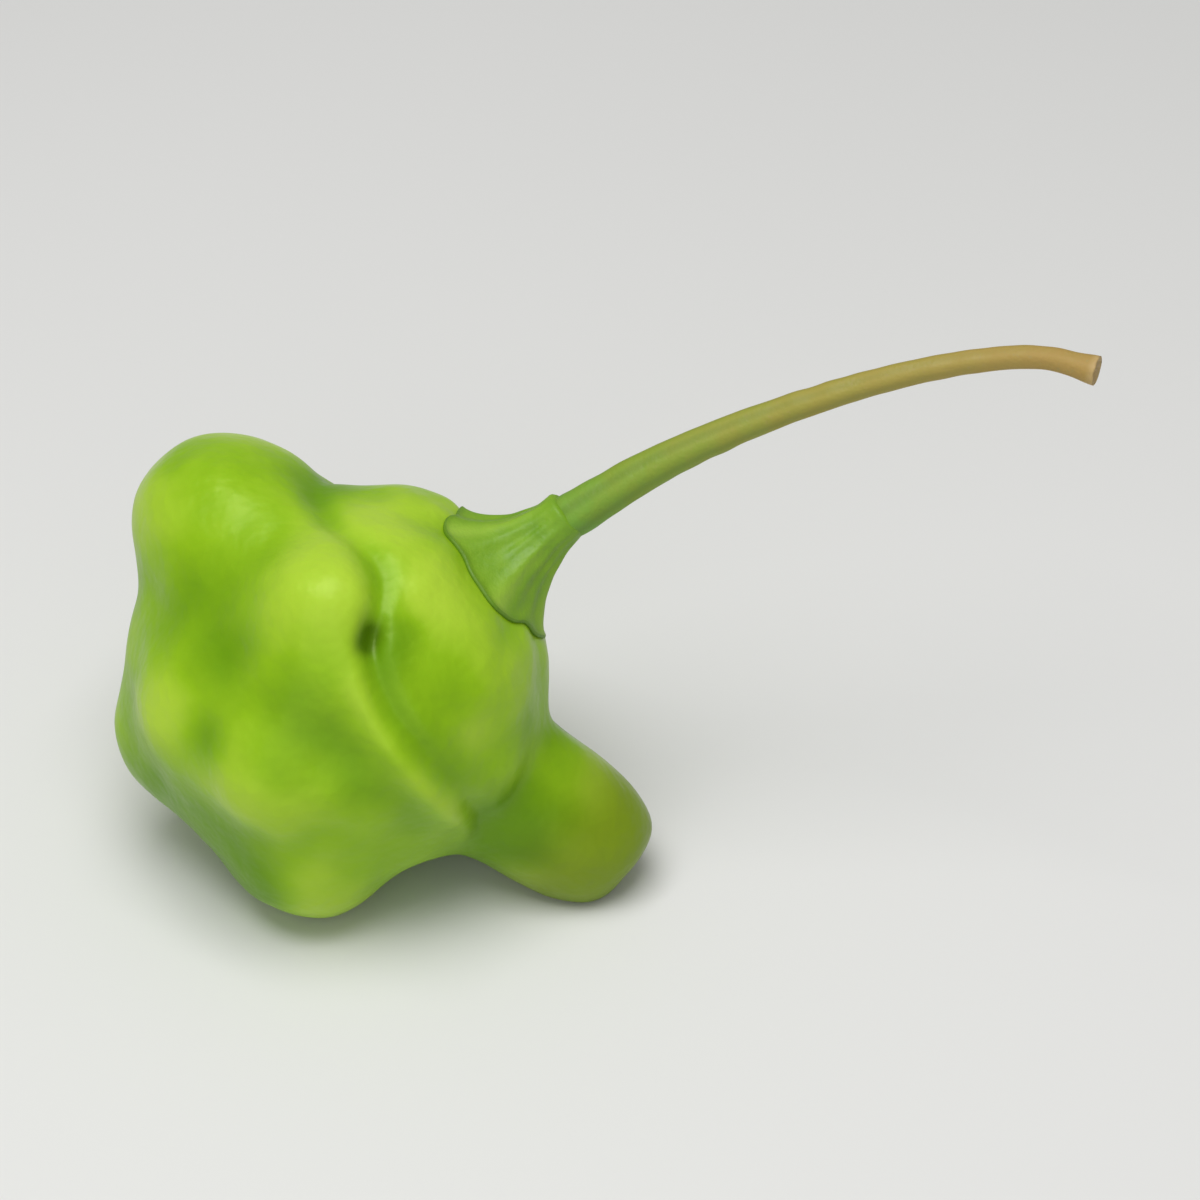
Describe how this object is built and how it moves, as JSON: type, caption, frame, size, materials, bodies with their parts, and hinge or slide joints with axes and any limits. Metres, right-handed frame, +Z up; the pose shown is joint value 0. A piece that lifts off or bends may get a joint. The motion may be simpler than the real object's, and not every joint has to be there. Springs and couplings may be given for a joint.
{
  "type": "cachucha pepper",
  "caption": "Picked light green cachucha pepper lying on its side: a lumpy, brimmed pod with a long nose, a small calyx and a long thin stem.",
  "frame": {"origin": "on the surface that the pepper lies on, under the middle of its box", "axes": "+Z up, +X along the longest extent from the pod towards the stem's tip, -Y towards the side that the picture shows"},
  "size_m": [0.0766, 0.0348, 0.0454],
  "materials": {
    "skin": "waxy, glossy fruit skin, yellow-green on the high spots and deeper green in the folds",
    "calyx": "satin green, faintly ribbed",
    "stem": "satin green at the calyx, olive and tan towards the dried cut end"
  },
  "bodies": {
    "root": {"pod": "skin", "calyx": "calyx", "stem": "stem"}
  },
  "joints": []
}
